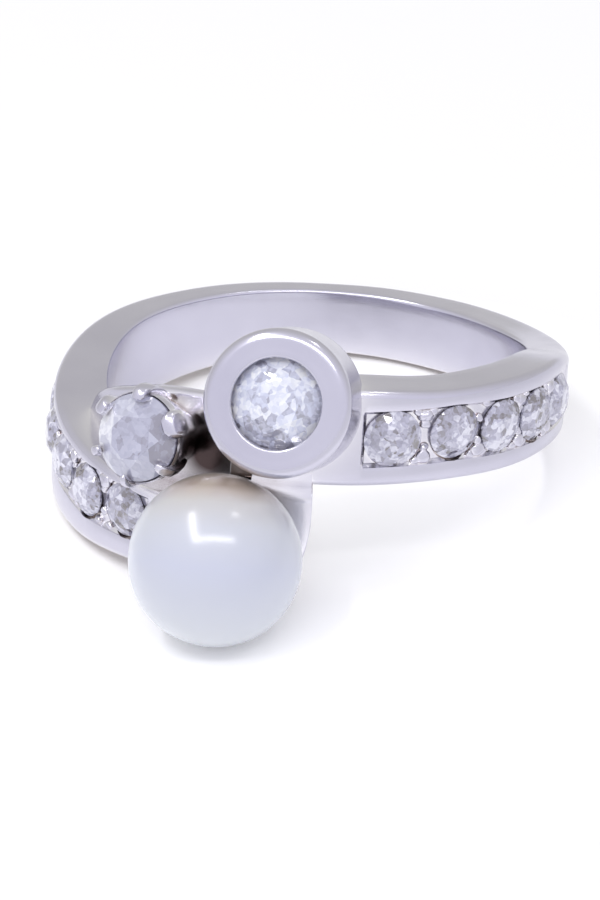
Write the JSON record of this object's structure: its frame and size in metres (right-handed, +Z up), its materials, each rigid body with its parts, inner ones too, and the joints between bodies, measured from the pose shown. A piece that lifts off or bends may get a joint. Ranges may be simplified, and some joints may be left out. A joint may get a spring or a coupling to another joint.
{
  "type": "pearl and diamond ring",
  "caption": "Crossover finger ring of white metal lying on its side, with a pearl, a diamond in a rub-over collet, a claw-set diamond and small diamonds in channels along both shoulders.",
  "frame": {"origin": "middle of the bounding box in X and Y, at the surface that the ring lies on", "axes": "+Z up, -Y towards the head of the ring with the pearl and the two large diamonds, +X to the right as seen from the head; the finger's axis is close to Z, tipped by the pearl that the ring leans on"},
  "size_m": [0.0214, 0.0258, 0.0119],
  "materials": {
    "white_gold": "polished",
    "pearl": "satin nacre",
    "diamond": "polished facets"
  },
  "bodies": {
    "root": {"band": "white_gold", "pearl": "pearl", "bezel_diamond": "diamond", "claw_diamond": "diamond", "shoulder_diamond_right_1": "diamond", "shoulder_diamond_right_2": "diamond", "shoulder_diamond_right_3": "diamond", "shoulder_diamond_right_4": "diamond", "shoulder_diamond_right_5": "diamond", "shoulder_diamond_left_1": "diamond", "shoulder_diamond_left_2": "diamond", "shoulder_diamond_left_3": "diamond", "shoulder_diamond_left_4": "diamond", "shoulder_diamond_left_5": "diamond"}
  },
  "joints": []
}
